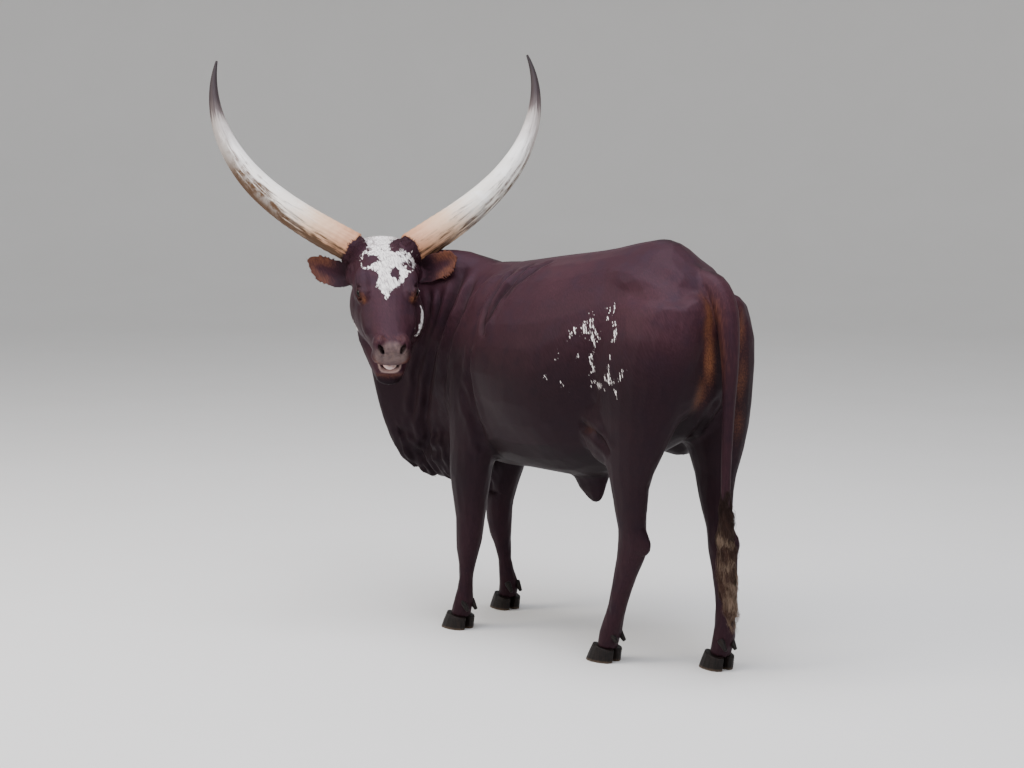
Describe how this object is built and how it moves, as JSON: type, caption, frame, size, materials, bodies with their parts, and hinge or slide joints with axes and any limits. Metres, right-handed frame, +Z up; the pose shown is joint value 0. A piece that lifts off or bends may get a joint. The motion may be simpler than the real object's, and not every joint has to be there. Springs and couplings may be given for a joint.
{
  "type": "longhorned cattle figure",
  "caption": "Life-size standing steer of a long-horned African breed, head turned back to its left, tall lyre-shaped horns, slender legs, deep dewlap and hanging tail.",
  "frame": {"origin": "middle of the whole animal's footprint box, on the ground under it", "axes": "+X towards the chest, along the trunk; +Y to the animal's left; +Z up, hooves on Z = 0"},
  "size_m": [2.145, 1.0506, 2.0688],
  "materials": {
    "coat": "short glossy hair",
    "switch": "coarse wavy hair",
    "horn": "weathered horn, off-white with dark tips",
    "eye": "wet, dark",
    "tongue": "moist skin",
    "hoof": "dull dark horn"
  },
  "bodies": {
    "root": {"torso": "coat", "neck": "coat", "head": "coat", "sheath": "coat", "tail": "coat", "foreleg_left": "coat", "foreleg_right": "coat", "hindleg_left": "coat", "hindleg_right": "coat", "ear_left": "coat", "ear_right": "coat", "tail_switch": "switch", "horn_left": "horn", "horn_right": "horn", "eye_left": "eye", "eye_right": "eye", "tongue": "tongue", "claw_fore_left_left": "hoof", "claw_fore_left_right": "hoof", "claw_fore_right_left": "hoof", "claw_fore_right_right": "hoof", "claw_hind_left_left": "hoof", "claw_hind_left_right": "hoof", "claw_hind_right_left": "hoof", "claw_hind_right_right": "hoof", "dewclaw_fore_left_left": "hoof", "dewclaw_fore_left_right": "hoof", "dewclaw_fore_right_left": "hoof", "dewclaw_fore_right_right": "hoof", "dewclaw_hind_left_left": "hoof", "dewclaw_hind_left_right": "hoof", "dewclaw_hind_right_left": "hoof", "dewclaw_hind_right_right": "hoof"}
  },
  "joints": []
}
